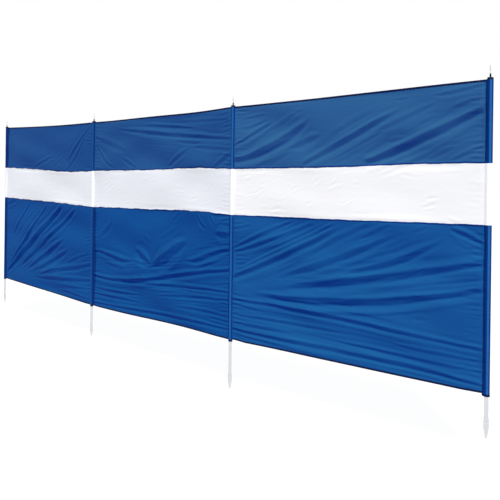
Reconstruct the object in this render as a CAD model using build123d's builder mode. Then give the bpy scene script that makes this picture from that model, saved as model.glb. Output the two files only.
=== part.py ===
from build123d import *
import os

os.makedirs("parts", exist_ok=True)

# A beach windbreak: three bays of cloth in one straight run, with a white window band, carried
# on four steel poles in sleeves. Millimetres, +X along the run from the first pole, the front
# toward -Y, +Z up. The origin is on the flat end of the first pole's spike.

# The cloth: one height for the whole run, and bands measured down from its head
bay_width = 1667.0
cloth_height = 1400.0
window_depth = 374.0        # from the cloth's head down to the window band
window_height = 274.0
cloth_thickness = 3.0
hem_height = 10.0
hem_thickness = 4.0

# How the poles stand, first to last: out in front of a straight line, below the level of the
# first pole, and bare below the cloth. The blade's flat side is turned this much from the run.
pole_forward = (0.0, 50.0, 75.0, 0.0)
pole_drop = (0.0, 32.0, 22.0, 0.0)
pole_foot = (223.0, 233.0, 288.0, 192.0)
blade_turn = (35.0, 20.0, 75.0, 60.0)

# The pole: a steel tube whose lower end is pressed flat, which spreads it, and cut to a blunt
# point
pole_diameter = 19.0
pole_wall = 1.0
pole_proud = 0.5            # how far the tube stands out of its sleeve, under the cap
press_length = 45.0         # from round tube to flat blade
spread_length = 30.0        # the part of it in which the tube grows wider
blade_length = 70.0
blade_width = 26.0
blade_thickness = 4.5
point_length = 50.0
tip_width = 8.0

# The sleeve: a pocket of cloth sewn up close beside the pole. At the two ends of the run it is
# the bay's own cloth, folded back round the pole, and lies wider and flatter.
sleeve_play = 0.5
sleeve_wall = 2.0
sleeve_reach = 16.0         # from the pole's axis to a seam
end_reach = 22.0            # the same at an end pole
end_fold = 16.0             # from an end pole's axis out to the fold of its pocket
sleeve_overhang = 6.0       # below the bottom hem

# The cap: a plug in the tube with a collar over the sleeve and a thin neck round the pin
plug_play = 0.15
plug_length = 25.0
collar_diameter = 28.0
collar_height = 7.0
collar_bevel = 2.0
neck_diameter = 8.0
neck_height = 16.0

# The pin: a steel spigot for the ring of a guy rope, with a thinner shank fixed in the cap
pin_diameter = 6.0
pin_length = 36.0           # clear of the neck
pin_bevel = 1.0
shank_diameter = 4.5
shank_play = 0.1

bays = range(len(pole_forward) - 1)
poles = range(len(pole_forward))
window_head = cloth_height - window_depth
window_foot = window_head - window_height


def pole_stand(number):
    """Where a pole's axis meets the ground plan."""
    return Vector(number * bay_width, -pole_forward[number], 0)


def cloth_foot(number):
    """The height of the cloth's lower edge at a pole."""
    return pole_foot[0] - pole_drop[number]


def pole_plane(number, height, turn=0.0):
    """A level plane on a pole's axis."""
    level = pole_stand(number) + Vector(0, 0, height)
    return Plane(level).rotated((0, 0, turn))


def bay_run(number):
    """The level vector along a bay, from one pole to the next."""
    return pole_stand(number + 1) - pole_stand(number)


def bay_plane(number):
    """The upright plane of a bay, with x along the cloth from its first pole and y up."""
    along = bay_run(number).normalized()
    return Plane(pole_stand(number), x_dir=along, z_dir=(along.Y, -along.X, 0))


def seam_reach(number):
    """How far a pole's seams lie from its axis."""
    return end_reach if number in (poles[0], poles[-1]) else sleeve_reach


def cloth_strip(number, low, high, thickness):
    """A strip of one bay's cloth, from seam to seam, between two heights above its foot."""
    first, last = cloth_foot(number), cloth_foot(number + 1)
    near, far = seam_reach(number), bay_run(number).length - seam_reach(number + 1)
    with BuildPart() as strip:
        with BuildSketch(bay_plane(number)):
            with BuildLine():
                Polyline(
                    (near, first + low),
                    (far, last + low),
                    (far, last + high),
                    (near, first + high),
                    close=True,
                )
            make_face()
        extrude(amount=thickness / 2, both=True)
    return strip


def seam_angles(number):
    """The directions in plan in which cloth leaves a sleeve: one at an end pole, else two."""
    angles = []
    if number in bays:
        angles.append(bay_plane(number).x_dir.get_signed_angle(Vector(1, 0, 0), Vector(0, 0, -1)))
    if number - 1 in bays:
        back = bay_plane(number - 1).x_dir * -1
        angles.append(back.get_signed_angle(Vector(1, 0, 0), Vector(0, 0, -1)))
    return angles


def sleeve_length(number, low, high):
    """A length of sleeve: round at the pole, drawn in to each seam and to an end pole's fold."""
    bore_radius = pole_diameter / 2 + sleeve_play
    angles = seam_angles(number)
    with BuildPart() as sleeve:
        with BuildSketch(pole_plane(number, cloth_foot(number) + low)):
            Circle(bore_radius + sleeve_wall)
            for angle in angles:
                with Locations(Location((0, 0, 0), (0, 0, angle))):
                    with Locations((seam_reach(number), 0)):
                        Rectangle(sleeve_wall, cloth_thickness, align=(Align.MAX, Align.CENTER))
            if len(angles) == 1:
                with PolarLocations(end_fold - sleeve_wall, 1, start_angle=angles[0] + 180):
                    Circle(sleeve_wall)
            make_hull()
            Circle(bore_radius, mode=Mode.SUBTRACT)
        extrude(amount=high - low)
    return sleeve


def upright_plane(number, height, turn):
    """A plane through a pole's axis: x across it, in the direction of its turn, and y up it."""
    level = pole_plane(number, height, turn)
    return Plane(level.origin, x_dir=level.x_dir, z_dir=-level.y_dir)


def steel_pole(number):
    """The tube, with its lower end spread by the press, flat on two sides and cut to a point."""
    tip = cloth_foot(number) - pole_foot[number]
    head = cloth_foot(number) + cloth_height + pole_proud
    length = head - tip
    shoulder = blade_length + press_length
    turn = blade_turn[number]
    across, through = upright_plane(number, tip, turn), upright_plane(number, tip, turn + 90)
    # The flats run on past the tube's surface, so that they end where they meet it
    flat_slope = press_length / (pole_diameter / 2 - blade_thickness / 2)
    flat_top = blade_length + (blade_width - blade_thickness / 2) * flat_slope
    with BuildPart() as pole:
        with BuildSketch(across):
            with BuildLine():
                Polyline(
                    (0, 0),
                    (blade_width / 2, 0),
                    (blade_width / 2, blade_length),
                    (pole_diameter / 2, blade_length + spread_length),
                    (pole_diameter / 2, length),
                    (0, length),
                    close=True,
                )
            make_face()
        revolve(axis=Axis(across.origin, across.y_dir))
        with BuildSketch(through):
            with BuildLine():
                Polyline(
                    (blade_thickness / 2, 0),
                    (blade_thickness / 2, blade_length),
                    (blade_width, flat_top),
                    (blade_width, 0),
                    close=True,
                )
            make_face()
            mirror(about=Plane.YZ)
        extrude(amount=blade_width, both=True, mode=Mode.SUBTRACT)
        with BuildSketch(across):
            with BuildLine():
                Polyline(
                    (tip_width / 2, 0),
                    (blade_width / 2, point_length),
                    (blade_width, point_length),
                    (blade_width, 0),
                    close=True,
                )
            make_face()
            mirror(about=Plane.YZ)
        extrude(amount=blade_width, both=True, mode=Mode.SUBTRACT)
        with BuildSketch(pole_plane(number, head)):
            Circle(pole_diameter / 2 - pole_wall)
        extrude(amount=shoulder - length, mode=Mode.SUBTRACT)
    return pole


def pole_cap(number):
    """The plastic plug on a pole, turned about the pole's axis."""
    head = cloth_foot(number) + cloth_height + pole_proud
    plug_radius = pole_diameter / 2 - pole_wall - plug_play
    hole_radius = shank_diameter / 2 + shank_play
    neck_top = collar_height + neck_height
    base = pole_plane(number, head)
    with BuildPart() as cap:
        with BuildSketch(Plane(base.origin, x_dir=(1, 0, 0), z_dir=(0, -1, 0))) as half:
            with BuildLine():
                Polyline(
                    (hole_radius, -plug_length),
                    (plug_radius, -plug_length),
                    (plug_radius, 0),
                    (collar_diameter / 2, 0),
                    (collar_diameter / 2, collar_height),
                    (neck_diameter / 2, collar_height),
                    (neck_diameter / 2, neck_top),
                    (hole_radius, neck_top),
                    close=True,
                )
            make_face()
            rim = half.vertices().group_by(Axis.X)[-1].sort_by(Axis.Y)[-1]
            chamfer(rim, length=min(collar_bevel, collar_height / 2))
        revolve(axis=Axis(base.origin, (0, 0, 1)))
    return cap


def top_pin(number):
    """The spigot that stands on the cap's neck, its head bevelled and its shank in the cap."""
    neck_top = cloth_foot(number) + cloth_height + pole_proud + collar_height + neck_height
    shank_length = plug_length + collar_height + neck_height
    with BuildPart() as pin:
        with BuildSketch(pole_plane(number, neck_top)):
            Circle(pin_diameter / 2)
        extrude(amount=pin_length)
        chamfer(pin.edges().group_by(Axis.Z)[-1], length=pin_bevel)
        with BuildSketch(pole_plane(number, neck_top)):
            Circle(shank_diameter / 2)
        extrude(amount=-shank_length)
    return pin


def keep(piece, name):
    """Label a finished piece and write it."""
    piece.part.label = name
    export_step(piece.part, f"parts/{name}.step")


for bay in bays:
    number = bay + 1
    keep(cloth_strip(bay, 0, hem_height, hem_thickness), f"bottom_hem_{number}")
    keep(cloth_strip(bay, hem_height, window_foot, cloth_thickness), f"lower_panel_{number}")
    keep(cloth_strip(bay, window_foot, window_head, cloth_thickness), f"window_panel_{number}")
    keep(cloth_strip(bay, window_head, cloth_height - hem_height, cloth_thickness),
         f"upper_panel_{number}")
    keep(cloth_strip(bay, cloth_height - hem_height, cloth_height, hem_thickness),
         f"top_hem_{number}")

for pole in poles:
    number = pole + 1
    keep(sleeve_length(pole, -sleeve_overhang, window_foot), f"lower_sleeve_{number}")
    keep(sleeve_length(pole, window_foot, window_head), f"window_sleeve_{number}")
    keep(sleeve_length(pole, window_head, cloth_height), f"upper_sleeve_{number}")
    keep(steel_pole(pole), f"pole_{number}")
    keep(pole_cap(pole), f"pole_cap_{number}")
    keep(top_pin(pole), f"top_pin_{number}")
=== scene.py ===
# A beach windbreak in its finished cloth, plastic and metal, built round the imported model.
# Metres, +X along the run, the front toward -Y, +Z up.
import math
import random
import bpy
import numpy as np
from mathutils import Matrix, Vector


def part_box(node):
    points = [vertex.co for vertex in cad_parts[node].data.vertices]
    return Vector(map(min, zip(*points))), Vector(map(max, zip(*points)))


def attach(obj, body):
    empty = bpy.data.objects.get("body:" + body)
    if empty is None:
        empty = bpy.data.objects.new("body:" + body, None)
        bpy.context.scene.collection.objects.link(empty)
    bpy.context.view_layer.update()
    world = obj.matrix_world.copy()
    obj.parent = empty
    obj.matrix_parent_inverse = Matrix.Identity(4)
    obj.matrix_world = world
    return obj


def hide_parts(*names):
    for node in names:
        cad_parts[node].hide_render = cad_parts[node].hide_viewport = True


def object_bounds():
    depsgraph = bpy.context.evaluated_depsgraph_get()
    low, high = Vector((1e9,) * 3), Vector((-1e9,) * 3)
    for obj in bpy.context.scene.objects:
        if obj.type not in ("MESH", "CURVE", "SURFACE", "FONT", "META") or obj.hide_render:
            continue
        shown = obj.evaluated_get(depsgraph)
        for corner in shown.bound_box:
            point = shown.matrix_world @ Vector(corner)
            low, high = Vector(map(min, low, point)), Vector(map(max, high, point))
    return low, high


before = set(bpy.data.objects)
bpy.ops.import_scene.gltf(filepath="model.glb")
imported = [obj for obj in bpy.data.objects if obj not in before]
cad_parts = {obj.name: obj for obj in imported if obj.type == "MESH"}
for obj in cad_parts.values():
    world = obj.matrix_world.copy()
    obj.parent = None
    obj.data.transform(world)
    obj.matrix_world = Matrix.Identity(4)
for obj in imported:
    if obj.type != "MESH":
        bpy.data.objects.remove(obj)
cad_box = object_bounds()
MM = 0.001


# The view, the floor and the light
# The camera stands off the right-hand end at breast height. The floor is matt and pale, the sun
# is soft and comes from the front and above, and a weaker one shines through the cloth.
def linear(code):
    """A colour written as sRGB hex, turned linear, with full alpha."""
    parts = [int(code[place:place + 2], 16) / 255 for place in (1, 3, 5)]
    return (*[x / 12.92 if x <= 0.04045 else ((x + 0.055) / 1.055) ** 2.4 for x in parts], 1.0)


def add_node(tree, kind, inputs=None, **settings):
    """A node with its settings, and its inputs given as values or as other nodes' outputs."""
    node = tree.nodes.new(kind)
    for name, value in settings.items():
        setattr(node, name, value)
    for name, value in (inputs or {}).items():
        if isinstance(value, bpy.types.NodeSocket):
            tree.links.new(value, node.inputs[name])
        else:
            node.inputs[name].default_value = value
    return node


def new_material(name):
    """A material with an empty node tree and its output."""
    material = bpy.data.materials.new(name)
    material.use_nodes = True
    material.node_tree.nodes.clear()
    return material, material.node_tree, material.node_tree.nodes.new("ShaderNodeOutputMaterial")


def join(tree, output, shader):
    tree.links.new(shader, output.inputs["Surface"])


def rays_of(tree, *kinds):
    """1 for a ray of any of these kinds, and 0 for the rest."""
    path = add_node(tree, "ShaderNodeLightPath")
    found = path.outputs[kinds[0]]
    for kind in kinds[1:]:
        found = add_node(tree, "ShaderNodeMath", {0: found, 1: path.outputs[kind]},
                         operation="MAXIMUM").outputs[0]
    return found


bpy.context.scene.view_settings.view_transform = "Standard"

# The camera was fitted to the four poles in the photograph
PHOTO_WIDTH = 500
FOCAL_PIXELS = 763.8
HORIZON_ROW = 180.6
SENSOR = 36.0
camera = bpy.data.objects.new("camera", bpy.data.cameras.new("camera"))
bpy.context.collection.objects.link(camera)
camera.location = (6.821, -3.043, 1.159)
camera.rotation_euler = (math.radians(90), math.radians(-0.733), math.radians(48.27))
camera.data.sensor_width = SENSOR
camera.data.lens = FOCAL_PIXELS / PHOTO_WIDTH * SENSOR
camera.data.shift_y = (HORIZON_ROW - PHOTO_WIDTH / 2) / PHOTO_WIDTH
bpy.context.scene.camera = camera

# The floor throws back little light, and the camera sees it near white, with the shadows kept
FLOOR_GLOW = 0.93
floor_paint, tree, output = new_material("matt_pale_floor_paint")
plain = add_node(tree, "ShaderNodeBsdfDiffuse", {"Color": linear("#5A5C5F")})
glow = add_node(tree, "ShaderNodeEmission", {"Color": linear("#FFFFFF"), "Strength": FLOOR_GLOW})
both = add_node(tree, "ShaderNodeAddShader", {0: plain.outputs[0], 1: glow.outputs[0]})
seen = add_node(tree, "ShaderNodeMixShader", {0: rays_of(tree, "Is Camera Ray", "Is Glossy Ray"),
                                              1: plain.outputs[0], 2: both.outputs[0]})
join(tree, output, seen.outputs[0])

FLOOR_HALF = 60.0
floor_level = cad_box[0][2] - 0.5 * MM
corners = [(x * FLOOR_HALF, y * FLOOR_HALF, floor_level)
           for x, y in ((-1, -1), (1, -1), (1, 1), (-1, 1))]
mesh = bpy.data.meshes.new("floor")
mesh.from_pydata(corners, [], [(0, 1, 2, 3)])
floor = bpy.data.objects.new("floor", mesh)
floor.data.materials.append(floor_paint)
bpy.context.collection.objects.link(floor)

# The sky is white where it is seen, and gives less light than that
SKY_LIGHT = 0.34
world = bpy.data.worlds.new("studio")
world.use_nodes = True
bpy.context.scene.world = world
tree = world.node_tree
tree.nodes.clear()
looked_at = rays_of(tree, "Is Camera Ray", "Is Glossy Ray", "Is Transmission Ray")
level = add_node(tree, "ShaderNodeMapRange", {"Value": looked_at, "To Min": SKY_LIGHT,
                                              "To Max": 1.0})
sky = add_node(tree, "ShaderNodeBackground", {"Color": linear("#FFFFFF"),
                                              "Strength": level.outputs[0]})
end = tree.nodes.new("ShaderNodeOutputWorld")
tree.links.new(sky.outputs[0], end.inputs["Surface"])


def add_sun(name, azimuth, elevation, strength, spread):
    """A soft sun. Its azimuth is turned from the front, toward +X."""
    lamp = bpy.data.objects.new(name, bpy.data.lights.new(name, "SUN"))
    bpy.context.collection.objects.link(lamp)
    lamp.data.energy = strength
    lamp.data.angle = math.radians(spread)
    lamp.rotation_euler = (math.radians(90 - elevation), 0, math.radians(azimuth))


add_sun("key_sun", azimuth=44, elevation=52, strength=4.33, spread=12)
add_sun("back_sun", azimuth=180, elevation=18, strength=1.9, spread=30)


# Where the cloth is held
# The four poles carry the cloth in sleeves, so each bay is one stretched sheet between two
# upright seams. All its panels, seams and hems share one worked-out surface.
SLEEVE_OVERHANG = 6 * MM
# From a pole's axis to its seams: the pockets at the two ends of the run are wider
SLEEVE_REACH = 16 * MM
END_REACH = 22 * MM
poles = range(1, 5)
bays = range(1, 4)
axes, feet, reach = {}, {}, {}
for number in poles:
    low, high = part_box(f"top_pin_{number}")
    axes[number] = np.array([(low[0] + high[0]) / 2, (low[1] + high[1]) / 2])
    feet[number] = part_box(f"lower_sleeve_{number}")[0][2] + SLEEVE_OVERHANG
    reach[number] = END_REACH if number in (poles[0], poles[-1]) else SLEEVE_REACH
WINDOW_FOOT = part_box("window_sleeve_1")[0][2] - feet[1]
WINDOW_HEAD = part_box("window_sleeve_1")[1][2] - feet[1]
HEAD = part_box("upper_sleeve_1")[1][2] - feet[1]

# How far each edge of a bay leaves a straight line, up, in millimetres: the sizes of one, two
# and three half waves along it, for the foot, the window's foot and head, and the head
EDGE_WAVES = {
    1: ((0, 0, 0), (3.4, -1, -0.6), (-10.2, 6.5, -1.2), (-7.6, 0.5, 0)),
    2: ((5.3, -4, 0.3), (9.5, -3.5, 2.5), (4.5, -4, 2.5), (-7.1, 1.5, -2.1)),
    3: ((2, 1.5, 0), (-1, 0, 1), (-1.1, -2.5, 1.8), (-2, -1.5, 0)),
}

# The small uneven gathers in the window's two seams, in millimetres
SEAM_GATHERS = {1: 1.6, 2: 1.3, 3: 0.7}

# How far the foot of each bay is drawn up beside its two poles, in millimetres, and the length
# of cloth over which it comes down again
FOOT_DRAWN_UP = {1: (1, 2), 2: (2, 2), 3: (6, 3)}
DRAWN_LENGTH = 120 * MM


# The folds
# Thin cloth that is pulled between poles lies in long slanting folds from the places where it
# is pulled, with fainter ones beside them, pleats along the sleeves and creases in the window.

# The main folds of each bay: about how steep the flank on a fold's line is, half the breadth of
# that flank in millimetres, and the line, in centimetres from the first pole's axis and up from
# the cloth's foot. The ones that are fainter than FAINT stand alone.
FAINT = 0.3
FOLDS = {
    1: (
        (0.45, 10, ((118, 107), (139, 123), (158, 136))),
        (0.40, 9, ((122, 104), (145, 121), (153, 129))),
        (0.25, 10, ((57, 104), (101, 116))),
        (0.20, 8, ((98, 106), (119, 116))),
        (0.15, 8, ((7, 132), (26, 136))),
        (0.20, 9, ((27, 106), (56, 105))),
        (0.42, 12, ((12, 37), (27, 51), (54, 74))),
        (0.25, 8, ((22, 38), (43, 54), (65, 70))),
        (0.30, 12, ((3, 69), (24, 74))),
        (0.60, 12, ((8, 13), (50, 44.5), (87, 72.5))),
        (0.66, 18, ((9, 10), (65, 43), (118, 74))),
        (0.55, 14, ((25, 11), (79, 38.5), (142, 73))),
        (0.58, 16, ((46, 13), (97, 36), (125, 48.5))),
        (0.50, 15, ((64, 14), (92, 24.5), (132, 40))),
        (0.34, 9, ((118, 25), (137, 32), (165, 39))),
        (0.42, 14, ((72, 11), (112, 21), (145, 26.5), (165, 31))),
        (0.38, 13, ((60, 9), (120, 14), (165, 18.5))),
        (0.34, 8, ((103, 8), (141, 10), (165, 12.3))),
        (0.42, 8, ((108, 4), (135, 4.5), (165, 4))),
    ),
    2: (
        (0.40, 12, ((30, 134), (95, 127), (165, 121))),
        (0.30, 9, ((60, 135), (134, 129))),
        (0.25, 9, ((104, 122), (141, 119))),
        (0.20, 8, ((106, 135), (160, 133))),
        (0.35, 11, ((99, 105), (124, 117))),
        (0.25, 10, ((124, 117), (161, 115))),
        (0.35, 11, ((149, 104), (165, 112))),
        (0.30, 10, ((5, 122), (13, 114), (29, 105))),
        (0.25, 10, ((39, 113), (60, 104))),
        (0.15, 16, ((5, 128), (50, 116))),
        (0.25, 14, ((10, 51), (18, 57), (27, 64), (26, 70))),
        (0.55, 13, ((6, 42), (20, 41), (30, 39), (40, 37.5), (50, 38), (60, 39.5))),
        (0.42, 22, ((58, 47), (67, 43), (80, 37))),
        (0.35, 9, ((55, 38.5), (68, 37.5), (80, 35.5))),
        (0.30, 10, ((79, 36.5), (91, 38), (102, 42))),
        (0.46, 25, ((78, 36.5), (91, 40), (100, 44.5), (111, 50), (125, 56.5))),
        (0.24, 6, ((106, 42), (118, 46))),
        (0.59, 12, ((117, 43.5), (128, 43.5), (140, 47), (151, 50.5), (166, 54))),
        (0.29, 7, ((124, 38), (140, 41.5), (152, 45.5), (158, 47.5))),
        (0.65, 12, ((2, 23.5), (20, 22.5), (40, 23.5), (80, 27), (121, 34.5), (166, 41.5))),
        (0.58, 9, ((40, 23), (80, 24), (121, 26), (166, 28.5))),
        (0.29, 6, ((148, 31), (166, 33.7))),
        (0.24, 6, ((111, 23), (145, 24.5))),
        (0.53, 8, ((85, 17), (120, 20), (166, 23.7))),
        (0.50, 8, ((2, 14.5), (40, 14.5), (72, 15.5))),
        (0.50, 8, ((2, 10), (40, 10), (72, 10.3))),
        (0.29, 6, ((2, 6), (20, 6))),
        (0.41, 8, ((106, 12), (122, 13), (166, 13.5))),
        (0.29, 6, ((140, 11), (166, 10.5))),
        (0.29, 6, ((142, 8), (166, 8))),
        (0.53, 9, ((6, 3), (40, 4), (80, 4.5), (120, 5.5), (166, 6))),
        (0.29, 9, ((103, 65.5), (108, 70), (114, 74))),
        (0.41, 10, ((133, 73), (136, 68), (143, 65))),
        (0.41, 8, ((145, 74), (151, 66.5))),
        (0.35, 17, ((150, 63), (160, 62.5), (167, 63.5))),
        (0.35, 7, ((146, 74), (166, 74.5))),
    ),
    3: (
        (0.45, 9, ((3, 117), (35, 130))),
        (0.50, 18, ((3, 108), (24, 112), (42, 119), (64, 131))),
        (0.20, 8, ((20, 104), (34, 108))),
        (0.45, 14, ((55, 104), (92, 119), (123, 131))),
        (0.50, 18, ((97, 104), (130, 114), (161, 126))),
        (0.20, 8, ((112, 114), (123, 116))),
        (0.25, 8, ((147, 128), (157, 131))),
        (0.25, 8, ((136, 135), (151, 136), (164, 138))),
        (0.20, 6, ((114, 135), (126, 135))),
        (0.30, 8, ((147, 104), (163, 110))),
        (0.20, 8, ((135, 105), (151, 111))),
        (0.20, 7, ((8, 132), (31, 134))),
        (0.25, 8, ((5, 125), (28, 130))),
        (0.15, 6, ((47, 134), (59, 134))),
        (0.25, 14, ((44, 113), (70, 121))),
        (0.20, 8, ((129, 121), (140, 126))),
        (0.50, 9, ((1, 55), (21, 63), (49, 73))),
        (0.45, 10, ((1, 53), (34, 62), (65, 73))),
        (0.50, 8, ((1, 41), (39, 56), (79, 73))),
        (0.55, 16, ((1, 38), (44, 54), (85, 72))),
        (0.30, 12, ((33, 45), (67, 59), (103, 74))),
        (0.40, 16, ((35, 40), (80, 54), (121, 70))),
        (0.40, 14, ((81, 47), (113, 54), (147, 69))),
        (0.45, 18, ((36, 35), (93, 44), (164, 58))),
        (0.55, 17, ((13, 30), (101, 34), (164, 46))),
        (0.30, 9, ((121, 41), (164, 48))),
        (0.45, 10, ((1, 25), (88, 23), (165, 19))),
        (0.30, 7, ((1, 22), (32, 20))),
        (0.35, 8, ((1, 16), (59, 16), (98, 16))),
        (0.30, 8, ((113, 15), (160, 14))),
        (0.30, 8, ((1, 11), (55, 11))),
        (0.30, 8, ((75, 11), (125, 10), (165, 9))),
        (0.50, 11, ((1, 7), (60, 6.3), (110, 6), (166, 3.3))),
        (0.30, 6, ((1, 4.5), (30, 3.2), (60, 3))),
        (0.30, 6, ((66, 3), (120, 2.8), (166, 1.6))),
        (0.40, 10, ((148, 73), (164, 67))),
        (0.25, 8, ((136, 49), (164, 54))),
        (0.20, 8, ((126, 29), (138, 30))),
        (0.30, 7, ((1, 67), (19, 70))),
        (0.25, 9, ((94, 65), (116, 74))),
        (0.20, 7, ((127, 70), (136, 73))),
    ),
}

CM_IN_M = 100
FOLD_STEPS = 28
CUBIC = 3
# A fold's section, in half breadths off its line: its turns, how crisp they are, how soon they
# die away, and where nothing is left
TURN = 1.25
CRISP = 0.09
DYING = 3.3
GONE = 7
# How a fold's strength and its place waver on its way: the middle, then each wave's size, the
# metres in a radian of it, and what its phase is multiplied by
STRENGTH_WAVER = (1.1, ((0.1, 0.08, 1), (0.06, 0.031, -1)))
PLACE_WAVER = (0, ((0.08, 0.1, 2), (0.05, 0.035, 1)))
# An end this near a sleeve or an edge of the window is sewn in there, and thins and fades less.
# It does so over a share of the fold's own length.
NEAR_SLEEVE = 100 * MM
NEAR_WINDOW = 30 * MM
THINNED_SEWN, THINNED_FREE = 0.3, 0.5
THIN_LENGTH = 0.4
FADE_AT_WINDOW, FADE_FREE = 0.06, 0.2


def smooth(x):
    """From 0 to 1 without a corner."""
    x = np.clip(x, 0, 1)
    return x * x * (3 - 2 * x)


def well_inside(x, low, high, rim):
    """0 outside two values, and from there up to 1 within the rim."""
    return smooth((x - low) / rim) * smooth((high - x) / rim)


def bay_length(bay):
    return float(np.linalg.norm(axes[bay + 1] - axes[bay]))


def bay_way(bay):
    """The direction in plan from a bay's first pole to its second."""
    return (axes[bay + 1] - axes[bay]) / bay_length(bay)


def seam_places(bay):
    """Where a bay's cloth starts and ends, along it from its first pole's axis."""
    return reach[bay], bay_length(bay) - reach[bay + 1]


def share_of_bay(bay, s):
    """The share of the way from a bay's first seam to its last."""
    first, last = seam_places(bay)
    return np.clip((s - first) / (last - first), 0, 1)


def way_along(points):
    """How far each point of a line lies along it."""
    return np.r_[0, np.cumsum(np.linalg.norm(np.diff(points, axis=0), axis=1))]


def fold_line(points):
    """A smooth line through a fold's few points, in metres: a cubic at most."""
    points = np.array(points, float) / CM_IN_M
    way = way_along(points)
    degree = min(len(points) - 1, CUBIC)
    along = np.linspace(0, 1, FOLD_STEPS)
    return np.stack([np.polyval(np.polyfit(way / way[-1], points[:, k], degree), along)
                     for k in (0, 1)], axis=1)


def beside_line(line, s, t):
    """For points beside a line: how far off it they lie, counted up from it, how far beyond its
    ends, the share of the way along it, and the length of that way."""
    start, run = line[None, :-1], np.diff(line, axis=0)[None]
    size = np.linalg.norm(run, axis=2)
    off = np.stack([s, t], axis=1)[:, None, :] - start
    place = (off * run).sum(2) / size**2
    gap = off - run * np.clip(place, 0, 1)[..., None]
    best = (gap**2).sum(2).argmin(1)
    row = np.arange(len(s))
    side = ((run[..., 0] * off[..., 1] - run[..., 1] * off[..., 0]) / size)[row, best]
    distance = np.linalg.norm(gap, axis=2)[row, best]
    place = place[row, best]
    past = ((place < 0) & (best == 0)) | ((place > 1) & (best == len(line) - 2))
    off_line = np.where(past, side, np.sign(side) * distance)
    beyond = np.where(past, np.sqrt(np.maximum(distance**2 - side**2, 0)), 0)
    share = (best + np.clip(place, 0, 1)) / (len(line) - 1)
    return off_line, beyond, share, share * size.sum()


def waver(about, along, phase):
    """A value that wavers about its middle on its way along a fold."""
    middle, waves = about
    return sum((size * np.sin(along / radian + times * phase) for size, radian, times in waves),
               middle)


def add_fold(depth, s, t, fold, length):
    """Adds one fold to the cloth's depth. Above its line the cloth bulges to the front."""
    steep, half, points = fold
    half = half * MM
    line = fold_line(points)
    near = GONE * half
    picked = np.flatnonzero((s > line[:, 0].min() - near) & (s < line[:, 0].max() + near)
                            & (t > line[:, 1].min() - near) & (t < line[:, 1].max() + near))
    if not len(picked):
        return
    off_line, beyond, share, along = beside_line(line, s[picked], t[picked])
    phase = points[0][0] + points[0][1]
    # It grows thin and fades toward its ends
    breadth = np.full(len(picked), half)
    strength = waver(STRENGTH_WAVER, along, phase)
    for end, from_end in ((line[0], share), (line[-1], 1 - share)):
        at_sleeve = min(end[0], length - end[0]) < NEAR_SLEEVE
        at_window = min(abs(end[1] - WINDOW_FOOT), abs(end[1] - WINDOW_HEAD)) < NEAR_WINDOW
        thinned = THINNED_SEWN if at_window or at_sleeve else THINNED_FREE
        breadth *= 1 - thinned * (1 - smooth(from_end / THIN_LENGTH))
        if not at_sleeve:
            strength *= smooth(from_end / (FADE_AT_WINDOW if at_window else FADE_FREE))
    wander = waver(PLACE_WAVER, along, phase) * well_inside(share, 0, 1, 0.1)
    halves = off_line / breadth + wander
    # An even dark flank with a quick turn to a light one on either side
    wave = np.sin(TURN * halves) - CRISP * np.sin(3 * TURN * halves)
    raised = steep * breadth / TURN * wave * np.exp(-(halves / DYING)**2)
    depth[picked] += raised * strength * np.exp(-(beyond / (2 * half))**2)


def companions(bay, pick):
    """Fainter and shorter folds, two above each main one and two below, about three of its half
    breadths apart and slid along it. Their places are in centimetres."""
    folds = []
    for steep, half, points in FOLDS[bay]:
        if steep < FAINT:
            continue
        first, last = np.array(points[0], float), np.array(points[-1], float)
        bow = points[1][1] - (first[1] + last[1]) / 2 if len(points) == 3 else 0
        start, end = (first + (last - first) * share for share in (0.2, 0.8))
        middle = (start + end) / 2 + (0, bow * 0.6)
        for side in (-1.8, -1, 1, 1.8):
            up = side * pick.uniform(2.6, 3.8) * half / 10
            move = (pick.uniform(-6, 6), up)
            folds.append((steep * pick.uniform(0.15, 0.4), half * pick.uniform(0.4, 0.75),
                          (start + move, middle + move, end + move)))
    return folds


def sleeve_pleats(bay, pick):
    """Short pleats all the way up beside both sleeves, and fainter in the window. Their places
    and lengths are in centimetres."""
    first, last = (place * CM_IN_M for place in seam_places(bay))
    folds = []
    for near_side in (True, False):
        t = 4.0
        while t < HEAD * CM_IN_M - 2:
            t += pick.uniform(1.8, 3.6)
            run = pick.uniform(3, 14)
            rise = pick.uniform(-0.12, 0.2) * run
            inside = WINDOW_FOOT * CM_IN_M - 1 < t < WINDOW_HEAD * CM_IN_M + 1
            steep = pick.uniform(0.08, 0.3) * (0.35 if inside else 1)
            ends = ((first, t), (first + run, t + rise))
            if not near_side:
                ends = ((last - run, t - rise), (last, t))
            folds.append((steep, pick.uniform(4.5, 6.5), ends))
    return folds


CREASES = 34


def window_creases(bay, pick):
    """Short creases all over the window, most of them dents, and the third bay's are deeper.
    Their places and lengths are in centimetres."""
    folds = []
    for _ in range(CREASES):
        middle = np.array([pick.uniform(8, bay_length(bay) * CM_IN_M - 8),
                           pick.uniform(WINDOW_FOOT * CM_IN_M + 2, WINDOW_HEAD * CM_IN_M - 2)])
        turn = math.radians(pick.gauss(22, 18))
        away = pick.uniform(2, 7) * np.array([math.cos(turn), math.sin(turn)])
        steep = pick.choice((-1, -1, 0.5)) * pick.uniform(0.08, 0.22) * (1.0 if bay == 3 else 0.6)
        folds.append((steep, pick.uniform(4.5, 8), (middle - away, middle + away)))
    return folds


all_folds = {}
for bay in bays:
    pick = random.Random(40 + bay)
    all_folds[bay] = [*FOLDS[bay], *companions(bay, pick), *sleeve_pleats(bay, pick),
                      *window_creases(bay, pick)]

# The slow swell of the cloth: so many waves, each with this height for its length. The window's
# is less by a share, from a margin inside its edges.
SWELLS = 7
SWELL_HEIGHT = 0.006
WINDOW_CALM = 0.6
WINDOW_MARGIN = 40 * MM
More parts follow.
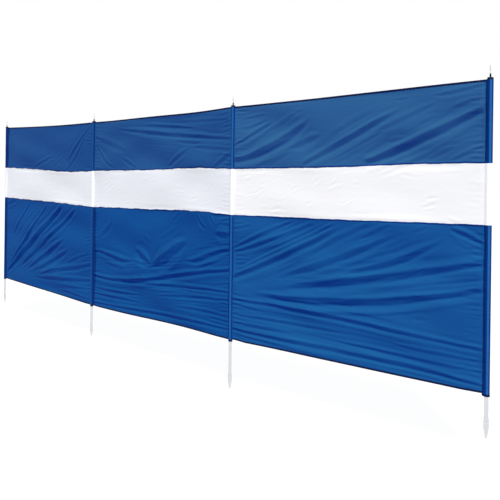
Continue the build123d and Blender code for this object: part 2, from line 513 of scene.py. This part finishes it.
# The share that is left of folds and swell where the cloth is sewn, and how far from there they
# are whole
AT_SLEEVE = (0.35, 20 * MM)
AT_HEM = (0.5, 25 * MM)
AT_WINDOW = (0.65, 15 * MM)


def swell(bay, s, t):
    """The slow in and out of a bay's cloth."""
    pick = random.Random(60 + bay)
    depth = np.zeros_like(s)
    for _ in range(SWELLS):
        turn = math.radians(pick.uniform(60, 115))
        wave = pick.uniform(0.16, 0.5)
        phase = pick.uniform(0, 2 * math.pi)
        depth += wave * SWELL_HEIGHT * np.sin(
            2 * math.pi * (s * math.cos(turn) + t * math.sin(turn)) / wave + phase)
    return depth


def cloth_depth(bay, s, t):
    """How far the cloth stands to the front of its bay's plane."""
    shape = np.shape(s)
    s, t = np.ravel(s).astype(float), np.ravel(t).astype(float)
    length = bay_length(bay)
    in_window = well_inside(t, WINDOW_FOOT, WINDOW_HEAD, WINDOW_MARGIN)
    depth = swell(bay, s, t) * (1 - WINDOW_CALM * in_window)
    for fold in all_folds[bay]:
        add_fold(depth, s, t, fold, length)
    from_sleeve = np.minimum(s - reach[bay], length - s - reach[bay + 1])
    from_hem = np.minimum(t, HEAD - t)
    from_window = np.minimum(abs(t - WINDOW_FOOT), abs(t - WINDOW_HEAD))
    for distance, (left, whole) in ((from_sleeve, AT_SLEEVE), (from_hem, AT_HEM),
                                    (from_window, AT_WINDOW)):
        depth *= left + (1 - left) * smooth(distance / whole)
    return depth.reshape(shape)


def edge_shift(bay, s, t):
    """How far the cloth stands above its straight place, from its edges' own waves."""
    first, last = seam_places(bay)
    share = share_of_bay(bay, s)
    levels = (0, WINDOW_FOOT, WINDOW_HEAD, HEAD)
    shifts = [sum(size * MM * np.sin((k + 1) * math.pi * share) for k, size in enumerate(sizes))
              for sizes in EDGE_WAVES[bay]]
    near, far = FOOT_DRAWN_UP[bay]
    shifts[0] = (shifts[0] + near * MM * (1 - smooth((s - first) / DRAWN_LENGTH))
                 + far * MM * (1 - smooth((last - s) / DRAWN_LENGTH)))
    # Each wave of the gathers has its size, the metres in a radian of it, and its phase
    uneven = SEAM_GATHERS[bay] * MM * well_inside(share, 0, 1, 0.05)
    for level in (1, 2):
        gathers = ((1, 0.041, 2 * bay + level), (0.7, 0.019, bay - level), (0.4, 0.0085, level))
        shifts[level] = shifts[level] + uneven * sum(
            size * np.sin(s / radian + phase) for size, radian, phase in gathers)
    total = np.zeros_like(s)
    for shift, weights in zip(shifts, np.eye(len(levels))):
        total = total + np.interp(t, levels, weights) * shift
    return total


def on_cloth(bay, s, t, lift=0.0):
    """Points on a bay's cloth: s from the first pole's axis, t up from the foot of the cloth."""
    s, t = np.broadcast_arrays(np.asarray(s, float), np.asarray(t, float))
    along = bay_way(bay)
    foot = feet[bay] + (feet[bay + 1] - feet[bay]) * share_of_bay(bay, s)
    depth = cloth_depth(bay, s, t) + lift
    return np.stack([axes[bay][0] + along[0] * s + along[1] * depth,
                     axes[bay][1] + along[1] * s - along[0] * depth,
                     foot + t + edge_shift(bay, s, t)], axis=-1)


def new_piece(name, points, faces, material):
    """A smooth-shaded mesh object from arrays of points and faces."""
    mesh = bpy.data.meshes.new(name)
    mesh.from_pydata([tuple(p) for p in np.asarray(points).reshape(-1, 3)], [],
                     [tuple(int(k) for k in face) for face in faces])
    mesh.materials.append(material)
    mesh.validate()
    mesh.polygons.foreach_set("use_smooth", [True] * len(mesh.polygons))
    mesh.update()
    piece = bpy.data.objects.new(name, mesh)
    bpy.context.collection.objects.link(piece)
    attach(piece, "root")
    return piece


def grid_faces(rows, columns, closed=False):
    """The quads of a grid of points, row by row, closed round each row or not."""
    last = columns if closed else columns - 1
    row, column = np.meshgrid(np.arange(rows - 1), np.arange(last), indexing="ij")
    row, column = row.ravel(), column.ravel()
    onward = (column + 1) % columns
    return np.stack([row * columns + column, row * columns + onward,
                     (row + 1) * columns + onward, (row + 1) * columns + column], axis=1)


def show_painted_layers(piece, painted_layer, in_painted_layers, rows):
    """Gives the columns of a grid that lie in layers the second material, with its painted shade
    on blue and painted glow on white.
    """
    piece.data.materials.append(painted_layer)
    piece.data.polygons.foreach_set("material_index", np.tile(in_painted_layers.astype(int), rows - 1))


# The blue panels
# Thin polyester taffeta, plain woven and dyed, cut in one piece above and one below the
# window and sewn to it. It is stretched between the poles, so it folds where it is pulled.
def object_place(tree):
    return add_node(tree, "ShaderNodeTexCoord").outputs["Object"]


def scaled(tree, place, *scale):
    """Places with each axis times its own number. A small one draws a pattern out that way."""
    return add_node(tree, "ShaderNodeMapping", {"Vector": place, "Scale": scale}).outputs[0]


def noise(tree, place, scale, detail, roughness=0.5):
    """A cloudy pattern."""
    inputs = {"Vector": place, "Scale": scale, "Detail": detail, "Roughness": roughness}
    return add_node(tree, "ShaderNodeTexNoise", inputs).outputs["Fac"]


def bands(tree, place, apart, direction, uneven=None):
    """A pattern of soft bands that lie this far apart."""
    inputs = {"Vector": place, "Scale": 2 * math.pi / (20 * apart), **(uneven or {})}
    return add_node(tree, "ShaderNodeTexWave", inputs, bands_direction=direction).outputs["Fac"]


def blend(tree, share, first, second):
    """A colour between two that are written as hex."""
    return add_node(tree, "ShaderNodeMix", {0: share, 6: linear(first), 7: linear(second)},
                    data_type="RGBA").outputs[2]


def relief(tree, pattern, strength, depth, **under):
    """The slope of a surface with a pattern in it, this deep, on top of the one under it."""
    inputs = {"Height": pattern, "Strength": strength, "Distance": depth, **under}
    return add_node(tree, "ShaderNodeBump", inputs).outputs[0]


THREADS_APART = 1.4 * MM
CREASE_SIZE = 35 * MM


def taffeta(name, through, dye, deep, glow_colour, painted_glow=0.0):
    """Woven polyester taffeta. Smooth filament yarn gives it a low silky shine, and it is thin,
    so a share of the light comes through. Real threads lie 0.15 mm apart, and are drawn coarser.
    A painted glow gives white cloth a faint light of its own, lifting its shade."""
    material, tree, output = new_material(name)
    place = object_place(tree)
    # The dye is a little cloudy, and streaked along the thicker weft threads
    cloudy = noise(tree, scaled(tree, place, 0.5, 1, 1.6), 3.0, 4.0, 0.55)
    slubs = noise(tree, scaled(tree, place, 3, 3, 180), 1.5, 2.0)
    uneven = add_node(tree, "ShaderNodeMath", {0: cloudy, 1: slubs}, operation="ADD")
    share = add_node(tree, "ShaderNodeMapRange", {"Value": uneven.outputs[0], "From Min": 0.7,
                                                  "From Max": 1.3})
    # Warp and weft stand up under fine creases
    warp, weft = (bands(tree, place, THREADS_APART, axis) for axis in "XZ")
    weave = add_node(tree, "ShaderNodeMath", {0: warp, 1: weft}, operation="ADD")
    threads = relief(tree, weave.outputs[0], 0.25, 0.06 * MM)
    creases = noise(tree, scaled(tree, place, 0.35, 1, 1), 1 / CREASE_SIZE, 3.0)
    crinkle = relief(tree, creases, 1.0, 1.2 * MM, Normal=threads)
    # Its emission is a painted glow, which lifts the shade of white cloth.
    cloth = add_node(tree, "ShaderNodeBsdfPrincipled", {
        "Base Color": blend(tree, share.outputs[0], dye, deep), "Roughness": 0.5, "IOR": 1.57,
        "Specular IOR Level": 0.02, "Normal": crinkle,
        "Emission Color": linear("#F4F5FF"), "Emission Strength": painted_glow})
    lit = add_node(tree, "ShaderNodeBsdfTranslucent", {"Color": linear(glow_colour),
                                                       "Normal": crinkle})
    mixed = add_node(tree, "ShaderNodeMixShader", {0: through, 1: cloth.outputs[0],
                                                   2: lit.outputs[0]})
    join(tree, output, mixed.outputs[0])
    return material


def cloth_lots(name, through, *lots):
    """The taffeta of each bay or pole. A lot is its dye, a deeper one, its glow where light
    comes through, and any painted glow of its own."""
    return {number: taffeta(f"{name}_{number}", through, *lot)
            for number, lot in enumerate(lots, start=1)}


# The third bay is dyed lighter than the first two: painted light, for how the bays lie to the
# light. The upper
# panels are paler and greyer: a painted sheen. Cloth in layers beside the poles lets no light
# through, and its darker dye is painted shade.
blue_taffeta = cloth_lots("blue_polyester_taffeta", 0.35, ("#196299", "#165A8C", "#001A90"),
                          ("#1A639A", "#165B8C", "#001A90"), ("#226C9F", "#1E6493", "#001A92"))
# The upper panels' paler, greyer dyes are a painted sheen on the same cloth as below.
sheen_painted_taffeta = cloth_lots("blue_polyester_taffeta_painted_sheen", 0.35,
                           ("#2A6390", "#255C86", "#001A8C"), ("#316A93", "#2C638A", "#001A8C"),
                           ("#3C7799", "#376F90", "#001A90"))
# Darker dyes where the blue lies in layers: painted shade, on top of the light the layers keep
# out.
shade_painted_taffeta = cloth_lots("blue_taffeta_layers_painted_shade", 0.0, ("#0A3273", "#082B68", "#001A90"),
                             ("#08347C", "#062E70", "#001A90"), ("#083A88", "#06337C", "#001A90"),
                             ("#073C8C", "#063580", "#001A90"))

# How much of each bay's lower, upper and window panels lies in layers beside its two sleeves,
# in millimetres: painted shade on the blue and painted glow on the white
LOWER_PAINTED_SHADE = {1: (10, 3), 2: (36, 7), 3: (3, 3)}
UPPER_PAINTED_SHADE = {1: (30, 3), 2: (3, 3), 3: (3, 3)}
WINDOW_PAINTED_GLOW = (3, 3)
COLUMN = 7 * MM
ROW = 4 * MM
HEM = 10 * MM


def cloth_panel(name, bay, low, high, material, painted_layer, painted_reach):
    """A panel of a bay from seam to seam, between two heights. Beside the sleeves its upright
    edges lie in layers and take the second material: painted shade on blue, painted glow on
    white."""
    near, far = seam_places(bay)
    columns = round((far - near) / COLUMN) + 1
    rows = round((high - low) / ROW) + 1
    s = np.linspace(near, far, columns)
    t, along = np.meshgrid(np.linspace(low, high, rows), s, indexing="ij")
    piece = new_piece(name, on_cloth(bay, along, t), grid_faces(rows, columns), material)
    middles = (s[:-1] + s[1:]) / 2
    painted_columns = (middles < near + painted_reach[0] * MM) | (middles > far - painted_reach[1] * MM)
    show_painted_layers(piece, painted_layer, painted_columns, rows)
    return piece


for bay in bays:
    for level, low, high, material, painted_reach in (
            ("lower", HEM / 2, WINDOW_FOOT, blue_taffeta[bay], LOWER_PAINTED_SHADE[bay]),
            ("upper", WINDOW_HEAD, HEAD - HEM / 2, sheen_painted_taffeta[bay], UPPER_PAINTED_SHADE[bay])):
        panel = cloth_panel(f"{level}_cloth_{bay}", bay, low, high, material,
                            shade_painted_taffeta[bay], painted_reach)
        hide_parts(f"{level}_panel_{bay}")


# The window band
# The same thin taffeta in undyed white, sewn between the blue panels. It lets more light
# through, and its creases show as faint grey marks.
# The third bay's white is paler than the first two's: painted light, as with the blue.
white_taffeta = cloth_lots("white_polyester_taffeta", 0.3, ("#F1F3F9", "#EAECF4", "#F0F2F9"),
                           ("#F0F2F9", "#E9EBF4", "#EFF1F9"), ("#FCFCFE", "#F6F6FA", "#FAFAFE"))
# Where the white lies in layers it glows, most at the fourth pole: painted light that lifts its
# shade.
glow_painted_white = cloth_lots("white_taffeta_layers_painted_glow", 0.0,
                           *(("#EEEFF4", "#E8E9EF", "#F3F3F6", painted_glow)
                             for painted_glow in (0.06, 0.06, 0.18, 0.36)))
for bay in bays:
    panel = cloth_panel(f"window_cloth_{bay}", bay, WINDOW_FOOT, WINDOW_HEAD,
                        white_taffeta[bay], glow_painted_white[bay], WINDOW_PAINTED_GLOW)
    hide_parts(f"window_panel_{bay}")


# The hems
# The cloth's edges are folded in and bound with a narrow navy tape, sewn on both faces.
def woven_tape(name, dye, deep, ribs_apart):
    """Ribbed polyester tape: close ribs across it, and less shine than the cloth."""
    material, tree, output = new_material(name)
    place = object_place(tree)
    ribs = bands(tree, place, ribs_apart, "X", {"Distortion": 0.6, "Detail Scale": 2.0})
    fuzz = noise(tree, place, 120.0, 3.0)
    tape = add_node(tree, "ShaderNodeBsdfPrincipled", {
        "Base Color": blend(tree, fuzz, dye, deep), "Roughness": 0.8, "IOR": 1.57,
        "Specular IOR Level": 0.1, "Normal": relief(tree, ribs, 0.5, 0.15 * MM)})
    join(tree, output, tape.outputs[0])
    return material


navy_tape = woven_tape("navy_polyester_tape", "#0A1A48", "#071238", 1.8 * MM)
TAPE_HALF = 0.9 * MM
STRIP_STEP = 5 * MM
# A folded strip's section, in shares of half its breadth, up, and of half its thickness, out
STRIP_RING = ((-1, 0), (-0.94, 0.75), (-0.8, 1), (-0.3, 1.05), (0.3, 1.05), (0.8, 1),
              (0.94, 0.75), (1, 0), (0.94, -0.75), (0.8, -1), (0.3, -1.05), (-0.3, -1.05),
              (-0.8, -1), (-0.94, -0.75))
# Its back puckers this much of what its front does
BACK_PUCKER = 0.6


def random_waves(pick, count, along, shortest, longest, turn=0.0):
    """A sum of waves of random lengths and places along a line."""
    return sum(np.sin(2 * math.pi * along / pick.uniform(shortest, longest) + turn
                      + pick.uniform(0, 6)) for _ in range(count))


def folded_strip(name, bay, low, high, half, material, pucker, seed):
    """A flat closed strip along a bay, round at its two long edges, that follows the cloth."""
    near, far = seam_places(bay)
    columns = round((far - near) / STRIP_STEP) + 1
    s = np.linspace(near, far, columns)
    middle, span = (low + high) / 2, (high - low) / 2
    gather = random_waves(random.Random(seed), 5, s, 9 * MM, 26 * MM) / 5 * pucker
    rows = [on_cloth(bay, s, middle + up * span,
                     out * half + gather * (1 if out > 0 else BACK_PUCKER))
            for up, out in STRIP_RING]
    faces = list(grid_faces(columns, len(STRIP_RING), closed=True))
    first_end = range(len(STRIP_RING))
    last = (columns - 1) * len(STRIP_RING)
    faces += [tuple(first_end)[::-1], tuple(last + k for k in first_end)]
    return new_piece(name, np.stack(rows, axis=1), faces, material)


trims = {bay: [] for bay in bays}
for bay in bays:
    for edge, low, high, node in (("foot", 0, HEM, "bottom_hem"),
                                  ("head", HEAD - HEM, HEAD, "top_hem")):
        hem = folded_strip(f"{edge}_tape_{bay}", bay, low, high, TAPE_HALF, navy_tape,
                           pucker=0.5 * MM, seed=10 * bay + len(edge))
        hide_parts(f"{node}_{bay}")
        trims[bay].append(hem)


# The window seams
# Where blue meets white the blue edge is turned under and felled flat, so four layers lie
# together in a narrow band that no light comes through. Its darker dye there is painted shade.
SEAM_BREADTH = 8 * MM
SEAM_HALF = 0.6 * MM
for bay in bays:
    for level, low, high in (("lower", WINDOW_FOOT - SEAM_BREADTH, WINDOW_FOOT),
                             ("upper", WINDOW_HEAD, WINDOW_HEAD + SEAM_BREADTH)):
        seam = folded_strip(f"{level}_window_seam_{bay}", bay, low, high, SEAM_HALF,
                            shade_painted_taffeta[bay], pucker=0.35 * MM, seed=30 * bay + len(level))
        trims[bay].append(seam)


# The stitching
# Lockstitch in blue polyester thread along both hems and both window seams, on each face.
# Real stitches are 3 to 4 mm long, and these are too.
thread, tree, output = new_material("blue_polyester_thread")
# Twisted yarn: a soft round gleam along each stitch
TWIST = 0.5 * MM
twist = bands(tree, object_place(tree), TWIST, "DIAGONAL")
yarn = add_node(tree, "ShaderNodeBsdfPrincipled", {
    "Base Color": linear("#16407F"), "Roughness": 0.6, "IOR": 1.57, "Specular IOR Level": 0.2,
    "Normal": relief(tree, twist, 0.4, 0.05 * MM)})
join(tree, output, yarn.outputs[0])

STITCH_PITCH = 4.2 * MM
STITCH_LENGTH = 3.2 * MM
STITCH_HALF = 0.3 * MM
STITCH_RISE = 1.2           # a stitch's height off the cloth, in its own half breadths
STITCH_INSET = 2 * MM
STITCH_LIFT = 0.25 * MM
STITCH_PATH = 330           # points along each row, about 5 mm apart


def unit(vectors):
    return vectors / np.linalg.norm(vectors, axis=1)[:, None]


def stitch_mesh(points, out):
    """Small pointed stitches along a line of points. out is the way off the cloth at each."""
    along = way_along(points)
    count = int(along[-1] / STITCH_PITCH) - 1
    starts = (np.arange(count) + 0.5) * STITCH_PITCH

    def at(values, where):
        return np.stack([np.interp(where, along, values[:, k]) for k in range(3)], axis=1)

    first, second = at(points, starts), at(points, starts + STITCH_LENGTH)
    off = unit(at(out, starts + STITCH_LENGTH / 2))
    across = unit(np.cross(second - first, off))
    middle = (first + second) / 2
    corners = np.stack([first, middle + across * STITCH_HALF,
                        middle + off * STITCH_HALF * STITCH_RISE,
                        middle - across * STITCH_HALF, second], axis=1)
    base = np.arange(count)[:, None] * 5
    shape = np.array([(0, 1, 2), (0, 2, 3), (4, 2, 1), (4, 3, 2), (0, 3, 1), (4, 1, 3)])
    return corners.reshape(-1, 3), (base[:, None] + shape[None]).reshape(-1, 3)


def stitch_piece(name, lines):
    """One mesh for many rows of stitches."""
    all_points, all_faces, count = [], [], 0
    for points, out in lines:
        corners, faces = stitch_mesh(points, out)
        all_points.append(corners)
        all_faces.append(faces + count)
        count += len(corners)
    piece = new_piece(name, np.concatenate(all_points), np.concatenate(all_faces), thread)
    return piece


for bay in bays:
    along = bay_way(bay)
    front = np.array([along[1], -along[0], 0.0])
    s = np.linspace(*seam_places(bay), STITCH_PATH)
    rows = []
    for t, half in ((HEM - STITCH_INSET, TAPE_HALF), (HEAD - HEM + STITCH_INSET, TAPE_HALF),
                    (WINDOW_FOOT - SEAM_BREADTH + STITCH_INSET, SEAM_HALF),
                    (WINDOW_HEAD + SEAM_BREADTH - STITCH_INSET, SEAM_HALF)):
        for side in (1, -1):
            lift = side * (half + STITCH_LIFT)
            rows.append((on_cloth(bay, s, t, lift), np.tile(front * side, (len(s), 1))))
    trims[bay].append(stitch_piece(f"hem_stitches_{bay}", rows))


# The sleeves
# Each pole stands in a pocket of the same cloth, sewn up close beside it, and white across the
# window. The two end pockets are folded back over themselves, so they are wider. Where a pocket
# lies in several layers its blue is darker, a painted shade, and its white has a painted glow.
SLEEVE_RADIUS = 11.4 * MM
END_FOLD = 15.6 * MM
RING_STEP = 5 * MM
# The third and fourth poles' sleeves are dyed lighter than the first two's: painted light.
sleeve_blue = cloth_lots("blue_taffeta_sleeve", 0.0, ("#1C5490", "#184D88", "#001A90"),
                         ("#1C5490", "#184D88", "#001A90"), ("#25609D", "#205995", "#001A90"),
                         ("#2864A4", "#235D9C", "#001A90"))
# The white sleeves glow a little: painted light on their shaded flanks.
sleeve_white = taffeta("white_taffeta_sleeve_painted_glow", 0.1, "#F8F8F9", "#F2F2F4", "#F3F3F6", 0.25)
# How far round each pole the layers with their painted shade and glow reach, in degrees either
# side of the seam of the bay that starts at the pole and of the bay that ends there, or of an end
# pocket's one seam and its fold
PAINTED_LAYERS = {1: (122, 20), 2: (48, 25), 3: (32, 98), 4: (112, 20)}
ROUND = 2 * math.pi


def sleeve_seams(number):
    """The way in plan to each seam of a sleeve, as (angle, bay, place along the bay)."""
    seams = []
    if number in bays:
        way = axes[number + 1] - axes[number]
        seams.append((math.atan2(way[1], way[0]), number, seam_places(number)[0]))
    if number - 1 in bays:
        way = axes[number - 1] - axes[number]
        seams.append((math.atan2(way[1], way[0]) % ROUND, number - 1,
                      seam_places(number - 1)[1]))
    return seams


def sleeve_corners(number):
    """Every corner of a sleeve in plan: its seams and an end pocket's fold, as (angle, reach)."""
    corners = [(way, reach[number]) for way, _, _ in sleeve_seams(number)]
    if len(corners) == 1:
        corners.append((corners[0][0] + math.pi, END_FOLD))
    return corners


def sleeve_ring(number):
    """The angles round a sleeve, about 8.5 degrees apart, and closer together at its corners."""
    marks = [angle for angle, _ in sleeve_corners(number)]
    marks.append(marks[0] + ROUND)
    angles = []
    for start, end in zip(marks, marks[1:]):
        count = round((end - start) / math.radians(8.5))
        angles += [start + (end - start) * (1 - math.cos(math.pi * k / count)) / 2
                   for k in range(count)]
    return np.array(angles + marks[-1:])


def turned_from(angle, way):
    """How far an angle lies from a way, either side."""
    return abs((angle - way + math.pi) % ROUND - math.pi)


# How far a sleeve stands loose of its round, and how far it puckers beside its corners
LOOSE = 0.12 * MM
PUCKER = 0.22 * MM


def on_sleeve(number, angle, t, lift=0.0):
    """Points on a sleeve: angle round the pole, and t up from the cloth's foot."""
    angle, t = np.broadcast_arrays(np.asarray(angle, float), np.asarray(t, float))
    pick = random.Random(80 + number)
    loose = sum(np.sin(ROUND * t / pick.uniform(0.05, 0.2) + angle * pick.choice((1, 2))
                       + pick.uniform(0, 6)) for _ in range(4)) * LOOSE
    radius = SLEEVE_RADIUS + loose + lift
    for way, out in sleeve_corners(number):
        # Flat from the round to the corner, along a tangent
        tangent = math.acos(SLEEVE_RADIUS / out)
        apart = turned_from(angle, way)
        share = np.clip(1 - apart / tangent, 0, 1)
        drawn = SLEEVE_RADIUS / np.cos(np.maximum(tangent - apart, 0))
        pucker = random_waves(pick, 4, t, 14 * MM, 34 * MM, turn=3 * apart) * PUCKER
        radius = np.maximum(radius, drawn + lift) + pucker * share * (1 - share) * 3
    # Near each seam it goes in and out with the edge of the bay's cloth
    sway = np.zeros(angle.shape + (2,))
    for way, bay, place in sleeve_seams(number):
        tangent = math.acos(SLEEVE_RADIUS / reach[number])
        share = np.clip(1 - turned_from(angle, way) / tangent, 0, 1)
        along = np.array([math.cos(way), math.sin(way)])
        starts_here = bay == number
        side = np.array([along[1], -along[0]]) * (1 if starts_here else -1)
        raised = FOOT_DRAWN_UP[bay][0 if starts_here else 1] * MM
        below = (t - raised) / (1 - raised / WINDOW_FOOT)
        height = np.clip(np.where(t < WINDOW_FOOT, below, t), 0, HEAD)
        depth = cloth_depth(bay, np.full(t.shape, place), height)
        sway += side * (depth * smooth(share * 1.4))[..., None]
    return np.stack([axes[number][0] + radius * np.cos(angle) + sway[..., 0],
                     axes[number][1] + radius * np.sin(angle) + sway[..., 1],
                     feet[number] + t], axis=-1)


def sleeve_piece(name, number, low, high, material, painted_layer):
    """A strip of cloth wrapped round a pole, its two upright edges meeting at the first seam.
    Beside its seams and at an end pocket's fold it lies in layers, painted shade on blue, painted
    glow on white."""
    angles = sleeve_ring(number)
    rows = round((high - low) / RING_STEP) + 1
    t, angle = np.meshgrid(np.linspace(low, high, rows), angles, indexing="ij")
    piece = new_piece(name, on_sleeve(number, angle, t), grid_faces(rows, len(angles)), material)
    middles = (angles[:-1] + angles[1:]) / 2
    in_painted_layers = np.zeros(len(middles), bool)
    for (way, _), spread in zip(sleeve_corners(number), PAINTED_LAYERS[number]):
        in_painted_layers |= turned_from(middles, way) < math.radians(spread)
    show_painted_layers(piece, painted_layer, in_painted_layers, rows)
    return piece


# The section of a sleeve's bound lower edge, in millimetres up and out from that edge
BINDING = ((10, 0.5), (9, 0.9), (1, 0.9), (-0.4, 0.6), (-0.8, 0), (-0.4, -0.6), (9, -0.8))
for number in poles:
    blue = (sleeve_blue[number], shade_painted_taffeta[number], "blue_sleeve")
    white = (sleeve_white, glow_painted_white[number], "white_sleeve")
    for level, low, high, (material, painted_layer, finish) in (
            ("lower", -SLEEVE_OVERHANG, WINDOW_FOOT, blue),
            ("window", WINDOW_FOOT, WINDOW_HEAD, white),
            ("upper", WINDOW_HEAD, HEAD, blue)):
        sleeve = sleeve_piece(f"{level}_pocket_{number}", number, low, high, material, painted_layer)
        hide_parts(f"{level}_sleeve_{number}")

    angles = sleeve_ring(number)[:-1]
    points = np.stack([on_sleeve(number, angles, -SLEEVE_OVERHANG + up * MM, out * MM)
                       for up, out in BINDING], axis=0)
    binding = new_piece(f"sleeve_binding_{number}", points,
                        grid_faces(len(BINDING), len(angles), closed=True), navy_tape)


# The poles
# Steel tube, zinc plated, drawn, cut and pressed flat at the foot. The plating gives a pale
# grey with faint lines along the tube and a soft broken shine.
def plated_steel(name, bright, dull, lines_apart):
    """Zinc-plated steel: a metal, so the default IOR, with draw lines and cloudy plating."""
    material, tree, output = new_material(name)
    place = object_place(tree)
    cloud = add_node(tree, "ShaderNodeTexVoronoi", {"Vector": place, "Scale": 1 / (6 * MM)})
    lines = noise(tree, scaled(tree, place, 1, 1, 0.02), 1 / lines_apart, 3.0)
    share = add_node(tree, "ShaderNodeMath", {0: lines, 1: cloud.outputs["Distance"]},
                     operation="MULTIPLY")
    rough = add_node(tree, "ShaderNodeMapRange", {"Value": lines, "To Min": 0.28, "To Max": 0.5})
    steel = add_node(tree, "ShaderNodeBsdfPrincipled", {
        "Base Color": blend(tree, share.outputs[0], bright, dull), "Metallic": 1.0,
        "Roughness": rough.outputs[0], "Normal": relief(tree, lines, 0.2, 0.03 * MM)})
    join(tree, output, steel.outputs[0])
    return material


tube_steel = plated_steel("zinc_plated_steel_tube", "#E0E2E4", "#B8BABE", 1.2 * MM)
pin_steel = plated_steel("bright_zinc_plated_rod", "#D2D4D6", "#A2A5A8", 0.8 * MM)


def finish_node(name, material, edge):
    """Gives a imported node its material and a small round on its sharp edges."""
    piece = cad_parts[name]
    piece.data.materials.clear()
    piece.data.materials.append(material)
    rounding = piece.modifiers.new("edges", "BEVEL")
    rounding.width = edge
    rounding.segments = 2
    rounding.limit_method = "ANGLE"
    rounding.angle_limit = math.radians(40)


for number in poles:
    finish_node(f"pole_{number}", tube_steel, 0.3 * MM)
    finish_node(f"top_pin_{number}", pin_steel, 0.2 * MM)


# The caps
# Injection-moulded black polyethylene: a satin skin with a fine grain, paler in patches where
# it has rubbed.
moulded_black, tree, output = new_material("moulded_black_polyethylene")
place = object_place(tree)
grain = noise(tree, place, 1 / (0.6 * MM), 2.0)
rubbed = noise(tree, place, 1 / (8 * MM), 4.0)
plastic = add_node(tree, "ShaderNodeBsdfPrincipled", {
    "Base Color": blend(tree, rubbed, "#08090B", "#15161A"), "Roughness": 0.5, "IOR": 1.51,
    "Specular IOR Level": 0.2, "Normal": relief(tree, grain, 0.4, 0.05 * MM)})
join(tree, output, plastic.outputs[0])
for number in poles:
    finish_node(f"pole_cap_{number}", moulded_black, 0.5 * MM)
